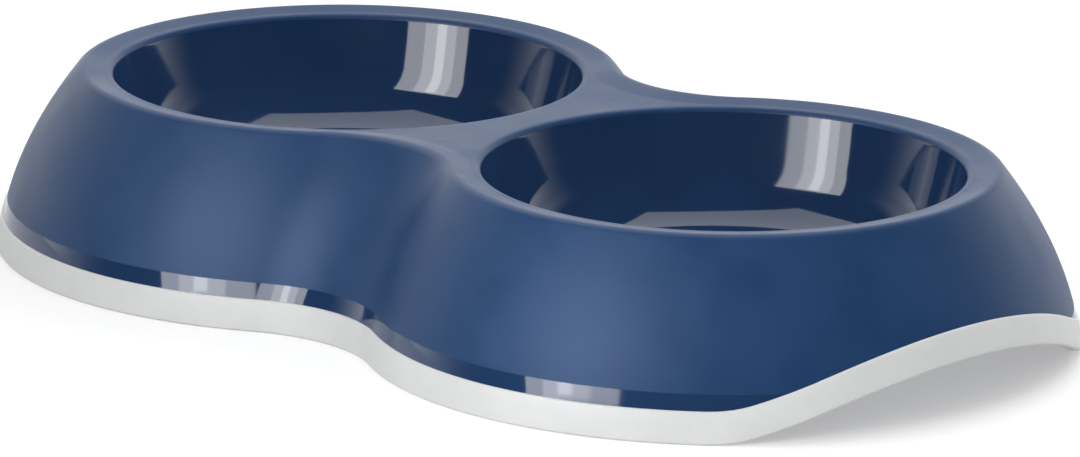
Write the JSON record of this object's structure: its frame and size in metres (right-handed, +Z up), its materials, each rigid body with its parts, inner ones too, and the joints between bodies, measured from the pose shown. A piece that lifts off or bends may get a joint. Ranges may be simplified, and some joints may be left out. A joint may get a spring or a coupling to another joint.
{
  "type": "double pet bowl",
  "caption": "Low double feeding bowl with round wells in one flared body, a deck that falls towards the wells, lifting arches at the ends and a soft anti-slip rim round the foot.",
  "frame": {"origin": "on the ground plane, midway between the wells", "axes": "+X from one well's centre to the other's, +Y across the wells, +Z up"},
  "size_m": [0.3306, 0.1934, 0.0502],
  "materials": {
    "body_plastic": "navy blue, fine satin grain outside, polished inside the wells and along the skirt's foot",
    "rim_rubber": "soft white, smooth and slightly dull"
  },
  "bodies": {
    "root": {"bowl_body": "body_plastic", "antislip_rim": "rim_rubber"}
  },
  "joints": []
}
